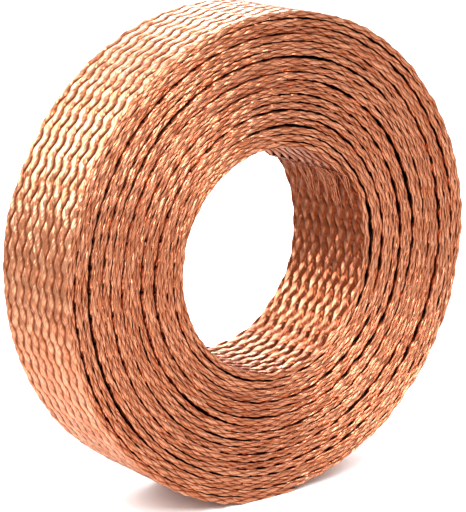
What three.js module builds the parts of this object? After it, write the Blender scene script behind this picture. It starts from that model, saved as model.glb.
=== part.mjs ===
// A flat flexible busbar braid of bare copper wire, wound on itself into an open roll.
// The roll stands on its rim, on a small flat spot. Millimetres, +Z up, the roll's axis along Y,
// its front face towards -Y, and the origin at the middle of its foot.
import * as THREE from "three";
import { mergeVertices } from "three/addons/utils/BufferGeometryUtils.js";

// The strap: a tubular braid pressed flat, so that both its edges are rounded folds
const strapWidth = 27;
const strapThickness = 1.45;
const edgeFoldWidth = 0.95;

// The winding, from the cut inner end outwards, anticlockwise seen from the front.
// Directions are in degrees from the right-hand side.
const boreRadius = 25.2;
const turnGap = 0.2;
const wholeTurns = 17;
const innerEndDirection = 45;
const outerEndDirection = 277;

// How evenly it is wound: the outer turns stand forward, and each turn wanders a little sideways
const forwardLean = 0.6;
const sidewaysWander = 0.3;
const wandersPerTurn = [0.41, 0.87];

// The soft innermost turn sags into the bore at one side
const boreSag = { direction: -5, depth: 2, spread: 50 };

// Places where a turn was wound slack and stands off the one below it
const slackSpread = 35;
const slackPlaces = [
  { turn: 1, direction: 250, width: 0.3 },
  { turn: 2, direction: 5, width: 0.8 },
  { turn: 3, direction: 81, width: 0.3 },
  { turn: 5, direction: 67, width: 0.3 },
  { turn: 6, direction: -10, width: 0.25 },
  { turn: 7, direction: 247, width: 0.3 },
  { turn: 9, direction: 20, width: 0.3 },
  { turn: 11, direction: -15, width: 0.25 },
  { turn: 12, direction: 65, width: 0.3 },
  { turn: 12, direction: 138, width: 0.35 },
  { turn: 15, direction: 187, width: 0.45 },
];

// The weave: bands of crossings side by side, and each crossing's length along the strap
const bandsAcross = 8;
const crossingLength = 4.95;
const weaveDepth = 0.4;

// The foot: how far the soft rim is pressed flat where it stands
const footDepth = 0.6;

// Straight steps in one turn of the plain strap
const stepsPerTurn = 24;

const copper = new THREE.MeshStandardMaterial({ color: 0xc9855f, roughness: 0.35, metalness: 1 });

const wholeCircle = 360;
const straightDown = 270;
const turns = wholeTurns + (outerEndDirection - innerEndDirection) / wholeCircle;
const halfWidth = strapWidth / 2;
const faceHalfWidth = halfWidth - edgeFoldWidth;
const columnsAcross = 2 * bandsAcross;
const rowLength = crossingLength / 2;

// How far the strap at this turn stands off the turn below it, beyond the usual gap
function slackAt(turn) {
  return slackPlaces.reduce((sum, place) => {
    const middle = place.turn + (place.direction - innerEndDirection) / wholeCircle;
    const away = ((turn - middle) * wholeCircle) / slackSpread;
    return sum + place.width * Math.exp(-away * away);
  }, 0);
}

// How far the innermost turn sags into the bore, which depends on the direction alone
function sagAt(turn) {
  const away = innerEndDirection + turn * wholeCircle - boreSag.direction;
  const nearest = away - wholeCircle * Math.round(away / wholeCircle);
  return boreSag.depth * Math.exp(-((nearest / boreSag.spread) ** 2));
}

// The radius of the strap's inner face: each turn lies on the one below it
function innerRadius(turn) {
  if (turn < 1) {
    return boreRadius + (strapThickness + turnGap) * turn - sagAt(turn);
  }
  return innerRadius(turn - 1) + strapThickness + turnGap + slackAt(turn);
}

// How far the strap's middle line lies to the back
function sidewaysShift(turn) {
  const lean = forwardLean * (0.5 - turn / turns);
  const wander = wandersPerTurn.reduce((sum, rate) => sum + Math.sin(rate * turn * 2 * Math.PI), 0);
  return lean + sidewaysWander * wander;
}

// The last place where the winding passes over the roll's lowest point, and the floor there
const lowestPart = (straightDown - innerEndDirection) / wholeCircle;
const footTurn = Math.floor(turns - lowestPart) + lowestPart;
const floorHeight = footDepth - strapThickness - innerRadius(footTurn);

// A point of the strap: its place along the winding, its height in the thickness, its place across.
// Nothing reaches below the floor, which presses the foot flat.
function strapPoint(turn, height, across) {
  const angle = THREE.MathUtils.degToRad(innerEndDirection + turn * wholeCircle);
  const radius = innerRadius(turn) + height;
  const point = new THREE.Vector3(
    radius * Math.cos(angle),
    across + sidewaysShift(turn),
    Math.max(radius * Math.sin(angle), floorHeight),
  );
  return { turn, across, point };
}

const triangles = [];

function addTriangle(a, b, c) {
  triangles.push(a.point, b.point, c.point);
}

// Fills the surface between two lines of points that run side by side, by whichever key they share
function stitch(first, second, key) {
  let i = 0;
  let j = 0;
  while (i < first.length - 1 || j < second.length - 1) {
    const firstEnds = i === first.length - 1;
    const secondEnds = j === second.length - 1;
    const nextOfFirst = firstEnds ? Infinity : first[i][key] + first[i + 1][key];
    const nextOfSecond = secondEnds ? Infinity : second[j][key] + second[j + 1][key];
    if (nextOfFirst <= nextOfSecond) {
      addTriangle(first[i], second[j], first[i + 1]);
      i += 1;
    } else {
      addTriangle(first[i], second[j], second[j + 1]);
      j += 1;
    }
  }
}

// A row of points across one face. High and low points alternate where the weave shows.
function faceRow(turn, faceHeight, sink, parity) {
  return Array.from({ length: columnsAcross + 1 }, (_, column) => {
    const across = faceHalfWidth * ((2 * column) / columnsAcross - 1);
    const atSide = column === 0 || column === columnsAcross;
    const low = !atSide && (column + parity) % 2 === 1;
    return strapPoint(turn, faceHeight + (low ? sink : 0), across);
  });
}

// The diamond weave over several rows: every crease joins two high points
function weave(rows, firstParity, facesOut) {
  for (let row = 0; row < rows.length - 1; row++) {
    for (let column = 0; column < columnsAcross; column++) {
      const p = rows[row][column];
      const r = rows[row + 1][column + 1];
      const q = facesOut ? rows[row][column + 1] : rows[row + 1][column];
      const s = facesOut ? rows[row + 1][column] : rows[row][column + 1];
      if ((row + column + firstParity) % 2 === 0) {
        addTriangle(p, q, r);
        addTriangle(p, r, s);
      } else {
        addTriangle(p, q, s);
        addTriangle(q, r, s);
      }
    }
  }
}

function edgePoints(places, height, across) {
  return places.map((turn) => strapPoint(turn, height, across));
}

// Places along the winding for the plain strap, with one at the very end
const shortestStep = 0.01;
const plainSteps = Math.ceil(turns * stepsPerTurn - shortestStep);
const plainPlaces = Array.from({ length: plainSteps }, (_, i) => i / stepsPerTurn);
plainPlaces.push(turns);

// The weave shows on the inner face of the first turn and on the outer face of the last one
const innerWeaveEnd = 1;
const outerWeaveStart = Math.ceil((turns - 1) * stepsPerTurn) / stepsPerTurn;
const innerPlain = plainPlaces.filter((turn) => turn >= innerWeaveEnd);
const outerPlain = plainPlaces.filter((turn) => turn <= outerWeaveStart);

function rowPlaces(from, to, radius) {
  const length = (to - from) * 2 * Math.PI * radius;
  const count = Math.round(length / rowLength);
  return Array.from({ length: count + 1 }, (_, i) => from + ((to - from) * i) / count);
}

// The cut ends are squeezed flat, so their rows have no low points
const innerRowPlaces = rowPlaces(0, innerWeaveEnd, boreRadius).slice(0, -1);
const innerRows = innerRowPlaces.map((turn, i) => faceRow(turn, 0, i === 0 ? 0 : weaveDepth, i));
const outerRadius = innerRadius(turns) + strapThickness;
const outerRowPlaces = rowPlaces(outerWeaveStart, turns, outerRadius).slice(1);
const outerRows = outerRowPlaces.map((turn, i) =>
  faceRow(turn, strapThickness, i === outerRowPlaces.length - 1 ? 0 : -weaveDepth, i),
);

// The lines along the strap at each corner of its section, and along the crest of each folded edge
const innerPlainFront = edgePoints(innerPlain, 0, -faceHalfWidth);
const innerPlainBack = edgePoints(innerPlain, 0, faceHalfWidth);
const outerPlainFront = edgePoints(outerPlain, strapThickness, -faceHalfWidth);
const outerPlainBack = edgePoints(outerPlain, strapThickness, faceHalfWidth);
const innerFront = [...innerRows.map((row) => row[0]), ...innerPlainFront];
const innerBack = [...innerRows.map((row) => row[columnsAcross]), ...innerPlainBack];
const outerFront = [...outerPlainFront, ...outerRows.map((row) => row[0])];
const outerBack = [...outerPlainBack, ...outerRows.map((row) => row[columnsAcross])];
const frontCrest = edgePoints(plainPlaces, strapThickness / 2, -halfWidth);
const backCrest = edgePoints(plainPlaces, strapThickness / 2, halfWidth);

function addFoldedEdges() {
  stitch(innerFront, frontCrest, "turn");
  stitch(frontCrest, outerFront, "turn");
  stitch(outerBack, backCrest, "turn");
  stitch(backCrest, innerBack, "turn");
}

function addOuterFace() {
  const lastPlain = [outerPlainFront.at(-1), outerPlainBack.at(-1)];
  stitch(outerPlainFront, outerPlainBack, "turn");
  stitch(outerRows[0], lastPlain, "across");
  weave(outerRows, 0, true);
}

function addInnerFace() {
  const firstPlain = [innerPlainFront[0], innerPlainBack[0]];
  weave(innerRows, 0, false);
  stitch(innerRows.at(-1), firstPlain, "across");
  stitch(innerPlainBack, innerPlainFront, "turn");
}

function addCutEnds() {
  const innerCrests = [frontCrest[0], outerPlainFront[0], outerPlainBack[0], backCrest[0]];
  const outerCrests = [frontCrest.at(-1), ...outerRows.at(-1), backCrest.at(-1)];
  stitch(innerCrests, innerRows[0], "across");
  stitch([innerPlainFront.at(-1), innerPlainBack.at(-1)], outerCrests, "across");
}

// The closed surface of the whole strap, moved so that the origin is at the middle of its foot
function rollGeometry() {
  addFoldedEdges();
  addOuterFace();
  addInnerFace();
  addCutEnds();
  const geometry = mergeVertices(new THREE.BufferGeometry().setFromPoints(triangles));
  geometry.computeBoundingBox();
  const { min, max } = geometry.boundingBox;
  geometry.translate(-(min.x + max.x) / 2, -(min.y + max.y) / 2, -min.z);
  geometry.computeVertexNormals();
  return geometry;
}

const braidRoll = new THREE.Mesh(rollGeometry(), copper);
braidRoll.name = "copper_braid_roll";

const part = new THREE.Group();
part.add(braidRoll);

export default part;
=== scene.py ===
import math

import bpy
import numpy as np
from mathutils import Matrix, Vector


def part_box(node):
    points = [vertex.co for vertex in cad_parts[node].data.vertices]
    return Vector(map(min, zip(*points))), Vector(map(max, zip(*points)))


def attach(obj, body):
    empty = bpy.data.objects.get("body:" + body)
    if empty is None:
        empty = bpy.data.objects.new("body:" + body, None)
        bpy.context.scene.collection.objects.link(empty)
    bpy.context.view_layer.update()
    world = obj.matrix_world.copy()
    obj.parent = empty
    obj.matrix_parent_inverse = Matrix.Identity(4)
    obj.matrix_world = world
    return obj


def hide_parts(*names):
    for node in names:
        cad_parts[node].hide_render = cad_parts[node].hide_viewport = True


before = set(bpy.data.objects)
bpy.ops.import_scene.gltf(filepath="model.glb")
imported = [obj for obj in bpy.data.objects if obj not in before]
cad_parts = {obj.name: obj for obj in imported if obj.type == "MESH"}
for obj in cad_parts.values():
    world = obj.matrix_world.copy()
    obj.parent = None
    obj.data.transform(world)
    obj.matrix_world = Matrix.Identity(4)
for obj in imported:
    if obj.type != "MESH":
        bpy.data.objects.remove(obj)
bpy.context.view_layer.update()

NODE = "copper_braid_roll"
BODY = "root"
MM = 0.001

# The strap and its winding, as the CAD part has them. Directions are in degrees from the right.
STRAP_WIDTH = 27 * MM
STRAP_THICKNESS = 1.45 * MM
BORE_RADIUS = 25.2 * MM
TURN_GAP = 0.2 * MM
WHOLE_TURNS = 17
INNER_END_DIRECTION = 45
OUTER_END_DIRECTION = 277
STRAIGHT_DOWN = 270
TURNS = WHOLE_TURNS + (OUTER_END_DIRECTION - INNER_END_DIRECTION) / 360
FOOT_DEPTH = 0.6 * MM
FORWARD_LEAN = 0.6 * MM
SIDEWAYS_WANDER = 0.3 * MM
WANDERS_PER_TURN = (0.41, 0.87)
SAG_DIRECTION = -5
SAG_DEPTH = 2 * MM
SAG_SPREAD = 50

# Where the winding was slack: the turn, the direction and the gap
SLACK_SPREAD = 35
SLACK_PLACES = (
    (1, 250, 0.3 * MM),
    (2, 5, 0.8 * MM),
    (3, 81, 0.3 * MM),
    (5, 67, 0.3 * MM),
    (6, -10, 0.25 * MM),
    (7, 247, 0.3 * MM),
    (9, 20, 0.3 * MM),
    (11, -15, 0.25 * MM),
    (12, 65, 0.3 * MM),
    (12, 138, 0.35 * MM),
    (15, 187, 0.45 * MM),
)

# The folded edges: half their height, how far each reaches out, and how much thicker it is
HALF_THICKNESS = STRAP_THICKNESS / 2
FOLD_REACH = 0.34 * MM
FOLD_SWELL = 0.12

# The braid: carriers round the flattened tube, and the lattice of their crossings.
# The carriers crowd together where they bend round a fold.
CARRIERS = 40
QUARTER_CARRIERS = 1.5
FACE_CARRIERS = CARRIERS / 2 - 2 * QUARTER_CARRIERS
CROSSING_LENGTH = 5.5 * MM
FOLD_QUARTER = math.pi / 2 * math.hypot(FOLD_REACH, HALF_THICKNESS) / math.sqrt(2)
FACE_WIDTH = STRAP_WIDTH - 2 * FOLD_REACH
PERIMETER = 4 * FOLD_QUARTER + 2 * FACE_WIDTH
COLUMN = FACE_WIDTH / FACE_CARRIERS
ROW = CROSSING_LENGTH / 2
STRAND_STEP = math.hypot(ROW, COLUMN)
WIRES_PER_STRAND = 11

# The UV numbers the strands, and starts again after this many
NUMBERED_STRANDS = 97

# How deep a strand dives under the next one, how much deeper the pit between four strands is,
# and how late along its patch the strand dives
DIVE_DEPTH = 0.42 * MM
PIT_DEPTH = 0.30 * MM
DIVE_POWER = 1.35

# A flat strand's side: the share of its drop that is spread over its width, and how sharp the rest is
SPREAD_DROP = 0.15
SIDE_SHARPNESS = 10

# The relief on the seams between columns of crossings: every second seam is closed up into a ridge,
# and the others gape in slots. The folded edges lie between.
RIDGE_RELIEF = 0.3
SLOT_RELIEF = 1.55
EDGE_RELIEF = 0.78

# Where each side of a patch is divided, and how many such steps go round the strap
STEP_PLACES = np.array([-1, -0.84, -0.42, 0, 0.42, 0.84, 1])
STEPS = len(STEP_PLACES) - 1
KEYS_AROUND = CARRIERS * STEPS

# Columns of patches: how many show on each side of a fold's crest, where a ridge lies, and the
# column on the back fold's crest. Column 0 is on the front fold's crest.
EDGE_COLUMNS = 2
RIDGE_COLUMN = 0.5
BACK_CREST = CARRIERS // 2

# Unevenness of the hand-wound strap, and how much more of it the folded edges have
EDGE_WOBBLE = 0.38 * MM
LIFT_WOBBLE = 0.13 * MM
FOLD_UNEVEN = 0.1
LATTICE_JITTER = 0.08 * MM
BULGE_JITTER = 0.035 * MM
LEAN_JITTER = 0.04 * MM
ROUGHER_EDGES = 2

# The lengths of the waves along the strap's edges, in millimetres. The waves and the swell fade
# inwards from each edge by these powers.
EDGE_WAVES = (8, 19, 55)
LIFT_WAVES = (7, 16)
FOLD_WAVES = (5, 14)
WAVE_FADE = 3
SWELL_FADE = 9

# Painted shadow deepens in the bore towards the cut end, where shade falls under it, and covered faces
# get less painted shade.
# A place counts as a fold's from this fold share on.
CUT_END_SHADOW_TURNS = (0.6, 0.76, 0.97)
CUT_END_SHADOW_DEPTHS = (0.2, 0.27, 0.38)
COVERED_SHARE = 0.3
MOSTLY_FOLD = 0.5

# How far the hidden middle of a turn stays from the next turn, so that no light passes between
CLEARANCE = 0.05 * MM

# The strap is made in pieces: how far each open face reaches, and where the rest is cut, in turns
WOVEN_TURNS = 1.02
MIDDLE_STOPS = (6, 10, 13.5)

# How finely the tables along the winding are sampled, and their spare ends
LAST_TURN_SAMPLES = 1441
SHIFT_SAMPLES = 1601
TURN_SAMPLES = 20001
WAVE_SAMPLES = 30001
WAVE_MARGIN = 10 * MM
SPARE_LENGTH = 1.1
SPARE_KNOTS = 3
SPARE_ROWS = 8

FULL_TURN = 2 * math.pi
SEED = 11
rng = np.random.default_rng(SEED)


def slack(turn):
    """How far the strap stands off the turn below it, beyond the usual gap."""
    total = np.zeros_like(turn)
    for place, direction, width in SLACK_PLACES:
        middle = place + (direction - INNER_END_DIRECTION) / 360
        total += width * np.exp(-(((turn - middle) * 360 / SLACK_SPREAD) ** 2))
    return total


def sag(turn):
    """How far the innermost turn sags into the bore."""
    away = INNER_END_DIRECTION + turn * 360 - SAG_DIRECTION
    nearest = away - 360 * np.round(away / 360)
    return SAG_DEPTH * np.exp(-((nearest / SAG_SPREAD) ** 2))


def inner_radius(turn):
    """The radius of the strap's inner face at each place along the winding, in turns."""
    turn = np.asarray(turn, float)
    whole = np.floor(turn)
    first = turn - whole
    radius = BORE_RADIUS + (STRAP_THICKNESS + TURN_GAP) * first - sag(first)
    for step in range(1, int(whole.max(initial=0)) + 1):
        rise = STRAP_THICKNESS + TURN_GAP + slack(first + step)
        radius = radius + np.where(whole >= step, rise, 0)
    return radius


def sideways_shift(turn):
    """How far the strap's middle line lies to the back."""
    lean = FORWARD_LEAN * (0.5 - turn / TURNS)
    return lean + SIDEWAYS_WANDER * sum(np.sin(rate * turn * FULL_TURN) for rate in WANDERS_PER_TURN)


def direction_of(turn):
    """The direction of a place along the winding, in radians."""
    return math.radians(INNER_END_DIRECTION) + turn * FULL_TURN


def roll_axis():
    """Where the roll's axis lies, worked out from the frame's box and the winding."""
    low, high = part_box(NODE)
    last = np.linspace(TURNS - 1, TURNS, LAST_TURN_SAMPLES)
    reach = (inner_radius(last) + STRAP_THICKNESS) * np.cos(direction_of(last))
    shifts = sideways_shift(np.linspace(0, TURNS, SHIFT_SAMPLES))
    lowest_part = (STRAIGHT_DOWN - INNER_END_DIRECTION) / 360
    foot = math.floor(TURNS - lowest_part) + lowest_part
    height = float(inner_radius(foot)) + STRAP_THICKNESS - FOOT_DEPTH
    return Vector((
        (low.x + high.x - reach.min() - reach.max()) / 2,
        (low.y + high.y - shifts.min() - shifts.max()) / 2,
        height,
    ))


AXIS = roll_axis()

# Length along the strap's middle line against turns
TURN_TABLE = np.linspace(0, TURNS, TURN_SAMPLES)
MIDDLE_RADIUS = inner_radius(TURN_TABLE) + HALF_THICKNESS
MEAN_RADIUS = (MIDDLE_RADIUS[1:] + MIDDLE_RADIUS[:-1]) / 2
LENGTH_TABLE = np.concatenate(([0], np.cumsum(FULL_TURN * MEAN_RADIUS * np.diff(TURN_TABLE))))
STRAP_LENGTH = LENGTH_TABLE[-1]
LAST_ROW = int(STRAP_LENGTH / ROW) // 2 * 2


def turn_at(length):
    """The place along the winding, in turns, at a length along the strap."""
    return np.interp(length, LENGTH_TABLE, TURN_TABLE)


def even_row_at(turn):
    """The last row of crossings with an even number before a place along the winding."""
    return int(np.interp(turn, TURN_TABLE, LENGTH_TABLE) / ROW) // 2 * 2


def ease(share):
    """A smooth rise from 0 to 1."""
    return share * share * (3 - 2 * share)


def smooth_noise(length, wavelength):
    """Random waviness along the strap, between -1 and 1, from seeded knots."""
    knots = rng.uniform(-1, 1, int(STRAP_LENGTH * SPARE_LENGTH / wavelength) + SPARE_KNOTS)
    place = length / wavelength
    whole = place.astype(int)
    part = ease(place - whole)
    return knots[whole] * (1 - part) + knots[whole + 1] * part


# The lengths along the strap where its waviness is sampled
WAVE_TABLE = np.linspace(-WAVE_MARGIN, STRAP_LENGTH + WAVE_MARGIN, WAVE_SAMPLES)


def wave(wavelengths):
    """The sum of waves of several lengths, sampled along the strap."""
    total = sum(smooth_noise(WAVE_TABLE + WAVE_MARGIN, w * MM) for w in wavelengths)
    return total / len(wavelengths) ** 0.5


FRONT_WAVE = wave(EDGE_WAVES)
BACK_WAVE = wave(EDGE_WAVES)
FRONT_LIFT = wave(LIFT_WAVES)
BACK_LIFT = wave(LIFT_WAVES)
FRONT_FOLD = wave(FOLD_WAVES)
BACK_FOLD = wave(FOLD_WAVES)

# Unevenness of each crossing and of each corner between crossings
ROWS = LAST_ROW + SPARE_ROWS
FROM_CREST = np.abs((np.arange(CARRIERS) + BACK_CREST // 2) % BACK_CREST - BACK_CREST // 2)
ROUGHNESS = np.where(FROM_CREST <= EDGE_COLUMNS, ROUGHER_EDGES, 1)
CORNER_SHIFT = rng.uniform(-LATTICE_JITTER, LATTICE_JITTER, (ROWS, CARRIERS, 2))
CORNER_JITTER = CORNER_SHIFT * ROUGHNESS[:, None]
CROSSING_BULGE = rng.normal(0, BULGE_JITTER, (ROWS, CARRIERS)) * ROUGHNESS
CROSSING_LEAN = rng.normal(0, LEAN_JITTER, (ROWS, CARRIERS)) * ROUGHNESS
CROSSING_TONE = rng.uniform(0, 1, (ROWS, CARRIERS))


def fold(bend, side):
    """A point of a folded edge and its outward direction, at an angle from the fold's crest."""
    cosine, sine = np.cos(bend), np.sin(bend)
    place = np.stack((side * (FACE_WIDTH / 2 + FOLD_REACH * cosine), HALF_THICKNESS * sine), -1)
    normal = np.stack((side * cosine * HALF_THICKNESS, sine * FOLD_REACH), -1)
    return place, normal / np.linalg.norm(normal, axis=-1, keepdims=True)


def section(columns):
    """Place and outward direction on the flattened tube: sideways and through the thickness."""
    carriers = (QUARTER_CARRIERS, FACE_CARRIERS, 2 * QUARTER_CARRIERS, FACE_CARRIERS, QUARTER_CARRIERS)
    widths = (FOLD_QUARTER, FACE_WIDTH, 2 * FOLD_QUARTER, FACE_WIDTH, FOLD_QUARTER)
    table = [np.concatenate(([0], np.cumsum(spans))) for spans in (carriers, widths)]
    around = np.interp(np.mod(columns, CARRIERS), *table)
    half = FACE_WIDTH / 2
    quarter = math.pi / 2
    outer_end = FOLD_QUARTER + FACE_WIDTH
    back_end = outer_end + 2 * FOLD_QUARTER
    inner_end = back_end + FACE_WIDTH
    on_outer = (around >= FOLD_QUARTER) & (around < outer_end)
    on_back = (around >= outer_end) & (around < back_end)
    on_inner = (around >= back_end) & (around < inner_end)
    past_crest = np.where(around >= inner_end, around - PERIMETER, around)
    place, normal = fold(past_crest / FOLD_QUARTER * quarter, -1)
    back_place, back_normal = fold(quarter - (around - outer_end) / FOLD_QUARTER * quarter, 1)
    place[on_back] = back_place[on_back]
    normal[on_back] = back_normal[on_back]
    outer_place = np.stack((around - FOLD_QUARTER - half, np.full_like(around, HALF_THICKNESS)), -1)
    inner_place = np.stack((half - (around - back_end), np.full_like(around, -HALF_THICKNESS)), -1)
    place[on_outer] = outer_place[on_outer]
    normal[on_outer] = (0, 1)
    place[on_inner] = inner_place[on_inner]
    normal[on_inner] = (0, -1)
    return place, normal


def in_row_frame(angle, radius, sideways):
    """Points in the row's frame, from their place round the roll's axis."""
    return np.stack((
        AXIS.x + radius * np.cos(angle),
        AXIS.y + sideways,
        AXIS.z + radius * np.sin(angle),
    ), -1)


def strap_points(length, columns, height):
    """Points in the row's frame for lengths along the strap, places round its section and heights."""
    place, normal = section(columns)
    turn = turn_at(np.clip(length, 0, STRAP_LENGTH))
    back = np.clip(place[..., 0] / STRAP_WIDTH + 0.5, 0, 1)
    front = 1 - back

    def at_edges(front_table, back_table):
        near_front = np.interp(length, WAVE_TABLE, front_table)
        near_back = np.interp(length, WAVE_TABLE, back_table)
        return front ** WAVE_FADE * near_front + back ** WAVE_FADE * near_back

    swell = 1 + FOLD_SWELL * (front ** SWELL_FADE + back ** SWELL_FADE)
    swell = swell + FOLD_UNEVEN * at_edges(FRONT_FOLD, BACK_FOLD)
    sideways = place[..., 0] + normal[..., 0] * height + EDGE_WOBBLE * at_edges(FRONT_WAVE, BACK_WAVE)
    lift = LIFT_WOBBLE * at_edges(FRONT_LIFT, BACK_LIFT)
    through = place[..., 1] * swell + normal[..., 1] * height + lift
    radius = inner_radius(turn) + HALF_THICKNESS + through
    points = in_row_frame(direction_of(turn), radius, sideways_shift(turn) + sideways)
    points[..., 2] = np.maximum(points[..., 2], 0)
    return points


def side_drop(across):
    """The drop of a flat strand's side: small over most of its width, 1 at its edge."""
    return SPREAD_DROP * across ** 2 + (1 - SPREAD_DROP) * across ** SIDE_SHARPNESS


def patch_height(along, across, bulge, lean):
    """Height of one crossing's upper strand, which dives at both ends and drops at its sides."""
    side = side_drop(across)
    dive = np.abs(along) ** DIVE_POWER
    top = -DIVE_DEPTH * dive * (1 - side)
    crease = -(DIVE_DEPTH + PIT_DEPTH * side_drop(along)) * side
    return top + crease + (bulge + lean * across) * (1 - dive) * (1 - side)


def fold_share(key_around):
    """How much a place belongs to a folded edge: 1 at its crest, 0 on the faces."""
    half = BACK_CREST * STEPS
    from_crest = np.abs((key_around + half // 2) % half - half // 2) / (EDGE_COLUMNS * STEPS)
    return 1 - np.clip(from_crest, 0, 1) ** 2


def relief_at(key_around):
    """How strong the relief is: deep in the slots, flat on the ridges, and even on the folded edges."""
    ridge = (1 + np.cos(math.pi * (key_around / STEPS - RIDGE_COLUMN))) / 2
    on_face = SLOT_RELIEF + (RIDGE_RELIEF - SLOT_RELIEF) * ridge
    return on_face + (EDGE_RELIEF - on_face) * fold_share(key_around)


def patch_grid(rows, columns):
    """Every patch's grid of points: lattice keys, places, heights and strand coordinates."""
    step = np.arange(STEPS + 1)
    i, j = np.meshgrid(step, step, indexing="ij")
    first, second = STEP_PLACES[i], STEP_PLACES[j]
    m = rows[:, None, None]
    n = columns[:, None, None]
    key_along = (m - 1) * STEPS + i + j
    key_around = np.mod(n * STEPS + i - j, KEYS_AROUND)
    rising = (m % 2) == 0
    along = np.where(rising, first, second)
    across = np.where(rising, second, first)
    bulge = CROSSING_BULGE[rows, columns % CARRIERS][:, None, None]
    lean = CROSSING_LEAN[rows, columns % CARRIERS][:, None, None]
    height = patch_height(along, across, bulge, lean) * relief_at(key_around)
    share_i, share_j = (first + 1) / 2, (second + 1) / 2
    corners = (
        (-1, 0, (1 - share_i) * (1 - share_j)),
        (1, 0, share_i * share_j),
        (0, 1, share_i * (1 - share_j)),
        (0, -1, (1 - share_i) * share_j),
    )
    jitter = 0
    for dm, dn, share in corners:
        corner = CORNER_JITTER[np.clip(rows + dm, 0, ROWS - 1), (columns + dn) % CARRIERS]
        jitter = jitter + corner[:, None, None, :] * share[None, :, :, None]
    length = (m - 1 + share_i + share_j) * ROW + jitter[..., 0]
    around = n + share_i - share_j + jitter[..., 1] / COLUMN
    return key_along, key_around, length, around, height, along, across


def shown_crossings(first_row, last_row, woven_outer, woven_inner):
    """Rows and columns of the crossings that can be seen: the folded edges and the open faces."""
    shown = set(range(-EDGE_COLUMNS, EDGE_COLUMNS + 1))
    shown |= set(range(BACK_CREST - EDGE_COLUMNS, BACK_CREST + EDGE_COLUMNS + 1))
    if woven_outer:
        shown |= set(range(EDGE_COLUMNS, BACK_CREST - EDGE_COLUMNS))
    if woven_inner:
        shown |= set(range(BACK_CREST + EDGE_COLUMNS, CARRIERS - EDGE_COLUMNS))
    columns = np.array(sorted({column % CARRIERS for column in shown}))
    m, n = np.meshgrid(np.arange(first_row, last_row + 1), columns, indexing="ij")
    crossing = (m + n) % 2 == 0
    return m[crossing], n[crossing]


def grid_quads(grid):
    """The four corners of every cell in a stack of grids."""
    return grid[:, :-1, :-1], grid[:, 1:, :-1], grid[:, 1:, 1:], grid[:, :-1, 1:]


def border_keys(outward, places):
    """Keys of the two zigzag borders between the edge bands, on the outer or the inner face."""
    even_row = np.round(places / (2 * STEPS)) * 2 * STEPS
    reach = STEPS - np.abs(places - even_row).astype(int)
    if outward:
        low = EDGE_COLUMNS * STEPS + reach
        high = (BACK_CREST - EDGE_COLUMNS) * STEPS - reach
    else:
        low = (BACK_CREST + EDGE_COLUMNS) * STEPS + reach
        high = (CARRIERS - EDGE_COLUMNS) * STEPS - reach
    return low, high


def plain_face(outward, places, keys, lengths, points):
    """A covered face between the two edge bands. An outer one bellies out to the next turn."""
    low, high = border_keys(outward, places)
    low_index = np.searchsorted(keys, places * KEYS_AROUND + low)
    high_index = np.searchsorted(keys, places * KEYS_AROUND + high)
    middle_length = (lengths[low_index] + lengths[high_index]) / 2
    if outward:
        middle_column = BACK_CREST / 2
        belly = TURN_GAP + slack(turn_at(middle_length) + 1) - CLEARANCE
    else:
        middle_column = CARRIERS - BACK_CREST / 2
        belly = np.zeros(len(places))
    middle_index = len(points) + np.arange(len(places))
    middle = strap_points(middle_length, np.full(len(places), middle_column), belly)
    strips = [
        np.stack((near[1:], near[:-1], far[:-1], far[1:]), -1)
        for near, far in ((low_index, middle_index), (middle_index, high_index))
    ]
    return np.concatenate((points, middle)), np.concatenate(strips)


def painted_shade_depths(heights, folds, on_inner, lengths, woven_outer, woven_inner):
    """How much shade is painted on each place: 0 on top of a strand, 1 at the bottom of a pit."""
    covered = np.where(on_inner, not woven_inner, not woven_outer) & (folds < MOSTLY_FOLD)
    depths = -heights / (DIVE_DEPTH + PIT_DEPTH) * np.where(covered, COVERED_SHARE, 1)
    if woven_inner:
        # Painted shadow on the bore's face under the cut end
        cut_end_shadow = np.interp(turn_at(lengths), CUT_END_SHADOW_TURNS, CUT_END_SHADOW_DEPTHS)
        depths = depths + cut_end_shadow * on_inner * (1 - folds)
    return np.clip(depths, 0, 1)


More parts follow.
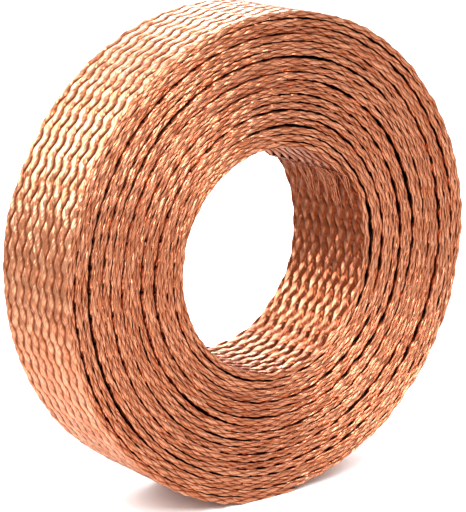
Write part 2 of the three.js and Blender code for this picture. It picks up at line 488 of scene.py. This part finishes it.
def strap_mesh(name, first_row, last_row, woven_outer, woven_inner):
    """One length of strap as a closed mesh. Faces that other turns cover are plain."""
    rows, columns = shown_crossings(first_row, last_row, woven_outer, woven_inner)
    key_along, key_around, length, around, height, along, across = patch_grid(rows, columns)
    lattice_keys = key_along.astype(np.int64) * KEYS_AROUND + key_around
    keys, first_use, index = np.unique(lattice_keys.ravel(), return_index=True, return_inverse=True)
    heights = height.ravel()[first_use]
    lengths = length.ravel()[first_use]
    around_keys = key_around.ravel()[first_use]
    points = strap_points(lengths, around.ravel()[first_use], heights)
    quads = np.stack(grid_quads(index.reshape(lattice_keys.shape)), -1).reshape(-1, 4)

    # The UV runs along each crossing's strand in millimetres, and across it in wires
    strand = np.where(rows % 2 == 0, rows - columns, rows + columns) // 2 % NUMBERED_STRANDS
    u = along * STRAND_STEP / 2 / MM
    v = ((across + 1) / 2 + strand[:, None, None]) * WIRES_PER_STRAND
    corner_uv = np.stack(grid_quads(np.stack((u, v), -1)), -2).reshape(-1, 4, 2)
    tones = np.repeat(CROSSING_TONE[rows, columns % CARRIERS], STEPS * STEPS)

    # Every vertex on the borders of the edge bands has a place along the strap in key steps
    first_even = (first_row + 1) // 2 * 2
    last_even = last_row // 2 * 2
    places = np.arange((first_even - 1) * STEPS, (last_even + 1) * STEPS + 1)
    for woven, outward in ((woven_outer, True), (woven_inner, False)):
        if not woven:
            points, strips = plain_face(outward, places, keys, lengths, points)
            quads = np.concatenate((quads, strips))
    plain_quads = len(quads) - len(tones)
    corner_uv = np.concatenate((corner_uv, np.zeros((plain_quads, 4, 2))))
    tones = np.concatenate((tones, np.zeros(plain_quads)))

    folds = fold_share(around_keys)
    on_inner = around_keys > BACK_CREST * STEPS
    depths = painted_shade_depths(heights, folds, on_inner, lengths, woven_outer, woven_inner)
    middle = np.zeros(len(points) - len(keys))
    depths, folds = np.concatenate((depths, middle)), np.concatenate((folds, middle))
    return closed_object(name, points, quads, corner_uv, tones, depths, folds)


def end_fans(points, quads):
    """Triangles that close each open end with a fan to its middle, and the points with the middles."""
    starts = quads.ravel()
    ends = np.roll(quads, -1, axis=1).ravel()
    size = len(points)
    forward = starts.astype(np.int64) * size + ends
    backward = ends.astype(np.int64) * size + starts
    open_edges = ~np.isin(forward, backward)
    remaining = dict(zip(starts[open_edges].tolist(), ends[open_edges].tolist()))
    fans = []
    while remaining:
        start, following = remaining.popitem()
        loop = [start]
        while following != start:
            loop.append(following)
            following = remaining.pop(following)
        middle = len(points)
        points = np.concatenate((points, points[loop].mean(0, keepdims=True)))
        turned = loop[1:] + loop[:1]
        fans += [(b, a, middle) for a, b in zip(loop, turned)]
    return points, np.array(fans, int).reshape(-1, 3)


def closed_object(name, points, quads, corner_uv, tones, depths, folds):
    """Makes the closed mesh, with its UV and the layers that its material reads."""
    points, fans = end_fans(points, quads)
    mesh = bpy.data.meshes.new(name)
    corners = np.concatenate((quads.ravel(), fans.ravel()))
    sizes = np.concatenate((np.full(len(quads), 4), np.full(len(fans), 3)))
    starts = np.concatenate(([0], np.cumsum(sizes)[:-1]))
    mesh.vertices.add(len(points))
    mesh.vertices.foreach_set("co", points.ravel().astype(np.float32))
    mesh.loops.add(len(corners))
    mesh.loops.foreach_set("vertex_index", corners.astype(np.int32))
    mesh.polygons.add(len(sizes))
    mesh.polygons.foreach_set("loop_start", starts.astype(np.int32))
    mesh.polygons.foreach_set("use_smooth", np.ones(len(sizes), bool))
    mesh.update(calc_edges=True)
    uv = np.concatenate((corner_uv.reshape(-1, 2), np.zeros((fans.size, 2))))
    mesh.uv_layers.new(name="strand").data.foreach_set("uv", uv.ravel().astype(np.float32))
    in_fans = np.zeros(len(fans))
    in_middles = np.ones(len(points) - len(depths))
    layers = (
        ("tone", "FACE", (tones, in_fans)),
        ("depth", "POINT", (depths, in_middles)),
        ("fold", "POINT", (folds, in_middles)),
    )
    for layer_name, domain, values in layers:
        layer = mesh.attributes.new(layer_name, "FLOAT", domain)
        layer.data.foreach_set("value", np.concatenate(values).astype(np.float32))
    mesh.validate()
    made = bpy.data.objects.new(name, mesh)
    bpy.context.scene.collection.objects.link(made)
    return made


class Nodes:
    """Short ways to add nodes to a material or a world, and to join them."""

    def __init__(self, owner):
        owner.use_nodes = True
        self.tree = owner.node_tree
        self.tree.nodes.clear()

    def add(self, kind, **settings):
        made = self.tree.nodes.new(kind)
        for name, value in settings.items():
            setattr(made, name, value)
        return made

    def feed(self, socket, value):
        if isinstance(value, bpy.types.NodeSocket):
            self.tree.links.new(value, socket)
        else:
            socket.default_value = value

    def math(self, operation, *values):
        made = self.add("ShaderNodeMath", operation=operation)
        for slot, value in enumerate(values):
            self.feed(made.inputs[slot], value)
        return made.outputs[0]

    def times(self, first, second):
        return self.math("MULTIPLY", first, second)

    def centred(self, value):
        return self.math("SUBTRACT", value, 0.5)

    def combine(self, *values):
        made = self.add("ShaderNodeCombineXYZ")
        for slot, value in enumerate(values):
            self.feed(made.inputs[slot], value)
        return made.outputs[0]

    def split(self, vector):
        made = self.add("ShaderNodeSeparateXYZ")
        self.feed(made.inputs[0], vector)
        return made.outputs

    def layer(self, name):
        return self.add("ShaderNodeAttribute", attribute_name=name).outputs["Fac"]

    def noise(self, vector, detail):
        made = self.add("ShaderNodeTexNoise")
        self.feed(made.inputs["Vector"], vector)
        made.inputs["Scale"].default_value = 1
        made.inputs["Detail"].default_value = detail
        return made.outputs["Fac"]

    def mix(self, share, first, second):
        made = self.add("ShaderNodeMix", data_type="RGBA")
        self.feed(made.inputs["Factor"], share)
        self.feed(made.inputs["A"], first)
        self.feed(made.inputs["B"], second)
        return made.outputs["Result"]

    def smooth_step(self, value, start, end):
        made = self.add("ShaderNodeMapRange", interpolation_type="SMOOTHSTEP")
        self.feed(made.inputs["Value"], value)
        made.inputs["From Min"].default_value = start
        made.inputs["From Max"].default_value = end
        return made.outputs["Result"]

    def gap(self, place, sharpness):
        """1 at the borders of a cell and 0 in its middle, from a place between -0.5 and 0.5."""
        return self.math("POWER", self.times(self.math("ABSOLUTE", place), 2.0), sharpness)


# Bare copper: its dullest and brightest tones, and the painted shade colour for low places on the faces
# and the folded edges
DULL_COPPER = (0.58, 0.185, 0.08, 1)
BRIGHT_COPPER = (0.95, 0.46, 0.27, 1)
FACE_PAINTED_SHADE = (0.21, 0.05, 0.017, 1)
FOLD_PAINTED_SHADE = (0.2, 0.024, 0.004, 1)
COPPER_ROUGHNESS = 0.33
COPPER_ANISOTROPY = 0.6
QUARTER_TURN = 0.25

# The depths where the painted shade starts and is full, how strong it is there, and how strong and how
# narrow the painted shade is in the gaps between wires and between groups of wires
SHALLOW = 0.12
DEEP = 0.56
SUNK_PAINTED_SHADE = 0.95
WIRE_GAP_PAINTED_SHADE = 0.3
WIRE_GAP_SHARPNESS = 4.0
GROUP_GAP_PAINTED_SHADE = 0.75
GROUP_GAP_SHARPNESS = 5.0

# How much of a place's tone is its wire's own, the rest being the crossing's
WIRE_TONE_SHARE = 0.35

# How far the surface tilts across a wire, across a group of wires, and along a strand as it sways.
# Of the first two, only a share is left away from the folded edges.
WIRE_TILT = 1.1
GROUP_TILT = 1.3
FACE_TILT_SHARE = 0.3
SWAY_TILT = 0.5

# The loose groups of wires in a strand: how they wander, and how fast the wander and the sway
# change along the strand, from wire to wire and from crossing to crossing
GROUPS_PER_STRAND = 3
GROUP_WANDER = 2.4
WANDER_RATES = (0.3, 0.1, 40.0)
WANDER_DETAIL = 1.5
SWAY_RATES = (0.6, 0.2, 17.0)
SWAY_DETAIL = 1.0


def copper_material(name):
    """Bare copper wire: round wires side by side, in loose groups that catch the light in streaks."""
    material = bpy.data.materials.new(name)
    nodes = Nodes(material)
    output = nodes.add("ShaderNodeOutputMaterial")
    shader = nodes.add("ShaderNodeBsdfPrincipled")
    shader.inputs["Metallic"].default_value = 1
    shader.inputs["Roughness"].default_value = COPPER_ROUGHNESS
    shader.inputs["Anisotropic"].default_value = COPPER_ANISOTROPY
    shader.inputs["Anisotropic Rotation"].default_value = QUARTER_TURN
    nodes.feed(output.inputs[0], shader.outputs[0])
    uv = nodes.add("ShaderNodeUVMap", uv_map="strand")
    along, wires, _ = nodes.split(uv.outputs[0])
    tone, depth, fold_amount = nodes.layer("tone"), nodes.layer("depth"), nodes.layer("fold")

    # Each strand's wires lie in a few round groups, which wander and part along the strand
    def changing(rates, detail):
        place = [nodes.times(value, rate) for value, rate in zip((along, wires, tone), rates)]
        return nodes.centred(nodes.noise(nodes.combine(*place), detail))

    wander = nodes.times(changing(WANDER_RATES, WANDER_DETAIL), GROUP_WANDER)
    sway = changing(SWAY_RATES, SWAY_DETAIL)
    group = nodes.math("MULTIPLY_ADD", wires, GROUPS_PER_STRAND / WIRES_PER_STRAND, wander)
    in_group = nodes.centred(nodes.math("FRACT", group))
    in_wire = nodes.centred(nodes.math("FRACT", wires))

    # The tilt of each round wire and of its group, as a normal in the strand's own directions
    tilt = nodes.math("MULTIPLY_ADD", in_group, GROUP_TILT, nodes.times(in_wire, WIRE_TILT))
    openness = nodes.math("MULTIPLY_ADD", fold_amount, 1 - FACE_TILT_SHARE, FACE_TILT_SHARE)
    tilt = nodes.math("MULTIPLY_ADD", nodes.times(tilt, openness), 0.5, 0.5)
    lean = nodes.math("MULTIPLY_ADD", sway, SWAY_TILT, 0.5)
    normal_map = nodes.add("ShaderNodeNormalMap", uv_map="strand")
    nodes.feed(normal_map.inputs["Color"], nodes.combine(lean, tilt, 1.0))
    nodes.feed(shader.inputs["Normal"], normal_map.outputs[0])
    tangent = nodes.add("ShaderNodeTangent", direction_type="UV_MAP", uv_map="strand")
    nodes.feed(shader.inputs["Tangent"], tangent.outputs[0])

    # Tone: each crossing and each wire differs a little, and shade is painted into low places and into
    # the gaps between wires and between groups
    wire_tone = nodes.add("ShaderNodeTexWhiteNoise", noise_dimensions="1D")
    nodes.feed(wire_tone.inputs["W"], nodes.math("FLOOR", wires))
    crossing_tone = nodes.times(tone, 1 - WIRE_TONE_SHARE)
    mixed = nodes.math("MULTIPLY_ADD", wire_tone.outputs["Value"], WIRE_TONE_SHARE, crossing_tone)
    copper = nodes.mix(mixed, DULL_COPPER, BRIGHT_COPPER)
    sunk = nodes.times(nodes.smooth_step(depth, SHALLOW, DEEP), SUNK_PAINTED_SHADE)
    wire_gap = nodes.times(nodes.gap(in_wire, WIRE_GAP_SHARPNESS), WIRE_GAP_PAINTED_SHADE)
    group_gap = nodes.times(nodes.gap(in_group, GROUP_GAP_SHARPNESS), GROUP_GAP_PAINTED_SHADE)
    # Painted shade: the strongest of the shade painted into low places, between wires and between
    # groups of wires
    painted_shade = nodes.math("MAXIMUM", nodes.math("MAXIMUM", wire_gap, sunk), group_gap)
    painted_shade_color = nodes.mix(fold_amount, FACE_PAINTED_SHADE, FOLD_PAINTED_SHADE)
    nodes.feed(shader.inputs["Base Color"], nodes.mix(painted_shade, copper, painted_shade_color))
    return material


def add_strap(material):
    """The strap in lengths: the inner turn, the turns between and the outer turn."""
    inner_stop = even_row_at(WOVEN_TURNS)
    outer_start = even_row_at(TURNS - WOVEN_TURNS)
    spans = [("inner_turn", 0, inner_stop, False, True)]
    start = inner_stop
    for number, stop in enumerate([*map(even_row_at, MIDDLE_STOPS), outer_start], 1):
        spans.append((f"middle_turns_{number}", start, stop, False, False))
        start = stop
    spans.append(("outer_turn", outer_start, LAST_ROW, True, False))
    pieces = []
    for name, first, last, woven_outer, woven_inner in spans:
        piece = strap_mesh(name, first + 1, last, woven_outer, woven_inner)
        piece.data.materials.append(material)
        pieces.append(piece)
    return pieces


# The cut inner end: its wires come in tufts, spread as they leave it and curl into the bore
LOOSE_WIRES = 50
TUFTS = 17
WIRE_RADIUS = 0.085 * MM
WIRE_SIDES = 5
WIRE_STEPS = 12
SHORTEST_WIRE = 5 * MM
LONGEST_WIRE = 12 * MM
START_BEHIND_CUT = 4 * MM
TUFT_SPREAD = 0.5 * MM
FRAYED_WIDTH = 19 * MM
WIRE_DRIFT = 3 * MM
DRIFT_TO_BACK = 0.6
WIRE_CURL = 0.6 * MM
WIRE_LIFT = 0.3 * MM
EDGE_MARGIN = 0.3 * MM

# Where in the strap's thickness the wires start, how soon they settle along the next turn, and
# how much of a wire's width in the UV each loose one takes
LOWEST_START = 0.2
HIGHEST_START = 0.8
SETTLING = 5
WIRE_UV_SHARE = 0.2


def loose_wire_path():
    """One loose wire: from inside the cut end, along the next turn's inner face and clear of it."""
    tuft = rng.integers(TUFTS)
    across = (tuft + 0.5) / TUFTS * FRAYED_WIDTH - STRAP_WIDTH / 2 + rng.normal(0, TUFT_SPREAD)
    height = rng.uniform(LOWEST_START, HIGHEST_START) * STRAP_THICKNESS
    reach = rng.uniform(SHORTEST_WIRE, LONGEST_WIRE) + START_BEHIND_CUT
    drift = rng.normal(0, WIRE_DRIFT) + WIRE_DRIFT * DRIFT_TO_BACK
    curl = abs(rng.normal(0, WIRE_CURL))
    lift = 2 * WIRE_RADIUS + rng.uniform(0, WIRE_LIFT)
    travelled = np.linspace(0, reach, WIRE_STEPS + 1)
    turn = float(turn_at(START_BEHIND_CUT)) - travelled / (FULL_TURN * BORE_RADIUS)
    beyond = np.clip((travelled - START_BEHIND_CUT) / LONGEST_WIRE, 0, 1)
    in_strap = np.maximum(turn, 0)
    leaving = inner_radius(in_strap) + height
    lying = inner_radius(turn + 1) - curl * beyond - lift
    settled = ease(np.clip(beyond * SETTLING, 0, 1))
    radius = leaving * (1 - settled) + lying * settled
    limit = STRAP_WIDTH / 2 - EDGE_MARGIN
    sideways = np.clip(across + drift * beyond + sideways_shift(in_strap), -limit, limit)
    return in_row_frame(direction_of(turn), radius, sideways)


def wire_tube(path):
    """Rings of points round a wire's path."""
    ahead = np.gradient(path, axis=0)
    ahead /= np.linalg.norm(ahead, axis=1, keepdims=True)
    aside = np.cross(ahead, (0, 1, 0))
    aside /= np.linalg.norm(aside, axis=1, keepdims=True)
    upward = np.cross(ahead, aside)
    around = (np.arange(WIRE_SIDES) * FULL_TURN / WIRE_SIDES)[None, :, None]
    ring = np.cos(around) * aside[:, None] + np.sin(around) * upward[:, None]
    return (path[:, None] + WIRE_RADIUS * ring).reshape(-1, 3)


def add_loose_wires(material):
    """The frayed wires of the cut inner end, each a thin closed tube."""
    step, side = np.meshgrid(np.arange(WIRE_STEPS), np.arange(WIRE_SIDES), indexing="ij")
    step, side = step.ravel(), side.ravel()
    near, far = step * WIRE_SIDES, (step + 1) * WIRE_SIDES
    following = (side + 1) % WIRE_SIDES
    tube_quads = np.stack((near + side, near + following, far + following, far + side), -1)
    u = np.stack((step, step, step + 1, step + 1), -1) / WIRE_STEPS * LONGEST_WIRE / MM
    v = 0.5 + np.stack((side, side + 1, side + 1, side), -1) / WIRE_SIDES * WIRE_UV_SHARE
    points, quads, uvs = [], [], []
    for number in range(LOOSE_WIRES):
        tube = wire_tube(loose_wire_path())
        points.append(tube)
        quads.append(tube_quads + number * len(tube))
        uvs.append(np.stack((u, v + number), -1))
    points, quads, uvs = np.concatenate(points), np.concatenate(quads), np.concatenate(uvs)
    tones = rng.uniform(0, 1, len(quads))
    depths, folds = np.zeros(len(points)), np.ones(len(points))
    made = closed_object("loose_wires", points, quads, uvs, tones, depths, folds)
    made.data.materials.append(material)
    return made


# The floor: pale, and dimmer where the copper mirrors it, darkest behind the roll, where a painted
# shadow lies that only the copper's reflections show.
# Distances are from the roll's foot.
FLOOR_REACH = 3.0
FLOOR_PALE = (0.93, 0.93, 0.93, 1)
NEAR_IN_COPPER = (0.76, 0.74, 0.71, 1)
FAR_IN_COPPER = (0.5, 0.48, 0.46, 1)
SHADOW_BEHIND_IN_COPPER = (0.28, 0.25, 0.22, 1)
NEAR_FLOOR = 0.1
FAR_FLOOR = 0.2
BEHIND_START = 0.05
BEHIND_END = 0.14


def floor_material():
    """A pale surface, dimmer in the copper's reflections, with a painted shadow behind the roll."""
    material = bpy.data.materials.new("pale_floor")
    nodes = Nodes(material)
    output = nodes.add("ShaderNodeOutputMaterial")
    shader = nodes.add("ShaderNodeBsdfDiffuse")
    nodes.feed(output.inputs[0], shader.outputs[0])
    in_copper = nodes.add("ShaderNodeLightPath").outputs["Is Glossy Ray"]
    position = nodes.add("ShaderNodeNewGeometry").outputs["Position"]
    away = nodes.add("ShaderNodeVectorMath", operation="LENGTH")
    nodes.feed(away.inputs[0], position)
    far = nodes.smooth_step(away.outputs["Value"], NEAR_FLOOR, FAR_FLOOR)
    behind = nodes.smooth_step(nodes.split(position)[1], BEHIND_START, BEHIND_END)
    mirrored = nodes.mix(far, NEAR_IN_COPPER, FAR_IN_COPPER)
    # Painted shadow of the roll on the floor behind it, seen only in the copper
    mirrored = nodes.mix(behind, mirrored, SHADOW_BEHIND_IN_COPPER)
    nodes.feed(shader.inputs["Color"], nodes.mix(in_copper, FLOOR_PALE, mirrored))
    return material


def add_stage():
    """The floor that the roll stands on."""
    mesh = bpy.data.meshes.new("floor")
    corners = [(x * FLOOR_REACH, y * FLOOR_REACH, 0) for x, y in ((-1, -1), (1, -1), (1, 1), (-1, 1))]
    mesh.from_pydata(corners, [], [(0, 1, 2, 3)])
    mesh.materials.append(floor_material())
    floor = bpy.data.objects.new("floor", mesh)
    bpy.context.scene.collection.objects.link(floor)


# The lamps: name, direction from the roll, width and height, and radiance. Cycles takes an area
# lamp's energy as four times its radiance times its area.
LAMP_DISTANCE = 0.9
ENERGY_FACTOR = 4
LAMP_WHITE = (0.97, 0.98, 1.0)
LAMPS = (
    ("front_softbox", (-0.25, -0.55, 0.75), (0.6, 0.6), 9.0),
    ("back_softbox", (-0.38, 0.77, 0.43), (0.75, 0.5), 6.0),
    ("back_right_softbox", (0.44, 0.9, 0.58), (0.4, 0.5), 6.5),
)


def look_at(thing, place, target):
    """Puts a lamp or a camera at a place, facing a target."""
    thing.location = place
    thing.rotation_euler = (target - place).to_track_quat("-Z", "Y").to_euler()
    bpy.context.scene.collection.objects.link(thing)


def add_lights():
    """Soft rectangular lamps that face the roll."""
    for name, direction, (width, height), radiance in LAMPS:
        data = bpy.data.lights.new(name, "AREA")
        data.shape = "RECTANGLE"
        data.size = width
        data.size_y = height
        data.energy = ENERGY_FACTOR * radiance * width * height
        data.color = LAMP_WHITE
        lamp = bpy.data.objects.new(name, data)
        look_at(lamp, AXIS + Vector(direction).normalized() * LAMP_DISTANCE, AXIS)


# The room: white where the floor and the camera see it, dimmer where the copper mirrors it
ROOM_WHITE = (1.0, 1.0, 1.0, 1)
ROOM_IN_COPPER = (0.9, 0.9, 0.9, 1)


def add_room():
    """The plain white room round the roll."""
    world = bpy.data.worlds.new("studio")
    nodes = Nodes(world)
    output = nodes.add("ShaderNodeOutputWorld")
    background = nodes.add("ShaderNodeBackground")
    nodes.feed(output.inputs[0], background.outputs[0])
    in_copper = nodes.add("ShaderNodeLightPath").outputs["Is Glossy Ray"]
    nodes.feed(background.inputs["Color"], nodes.mix(in_copper, ROOM_WHITE, ROOM_IN_COPPER))
    bpy.context.scene.world = world


# The camera stands to the front left and above. The angles are in degrees, the lens in millimetres.
CAMERA_AZIMUTH = -36.91
CAMERA_ELEVATION = 13.45
CAMERA_DISTANCE = 0.494
CAMERA_LENS = 152.5
SENSOR_WIDTH = 36
AIM_LEFT = 2.65 * MM
AIM_DOWN = 1.52 * MM


def add_camera():
    """The camera at the photo's angle, aimed a little off the roll's axis."""
    azimuth, elevation = math.radians(CAMERA_AZIMUTH), math.radians(CAMERA_ELEVATION)
    toward = Vector((
        math.sin(azimuth) * math.cos(elevation),
        -math.cos(azimuth) * math.cos(elevation),
        math.sin(elevation),
    ))
    right = Vector((0, 0, 1)).cross(toward).normalized()
    up = toward.cross(right)
    data = bpy.data.cameras.new("camera")
    data.lens = CAMERA_LENS
    data.sensor_width = SENSOR_WIDTH
    camera = bpy.data.objects.new("camera", data)
    look_at(camera, AXIS + toward * CAMERA_DISTANCE, AXIS - right * AIM_LEFT - up * AIM_DOWN)
    bpy.context.scene.camera = camera


add_camera()
add_stage()
add_lights()
add_room()
copper = copper_material("bare_copper_braid")
for piece in [*add_strap(copper), add_loose_wires(copper)]:
    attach(piece, BODY)
    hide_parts(NODE)
bpy.context.scene.view_settings.view_transform = "Standard"
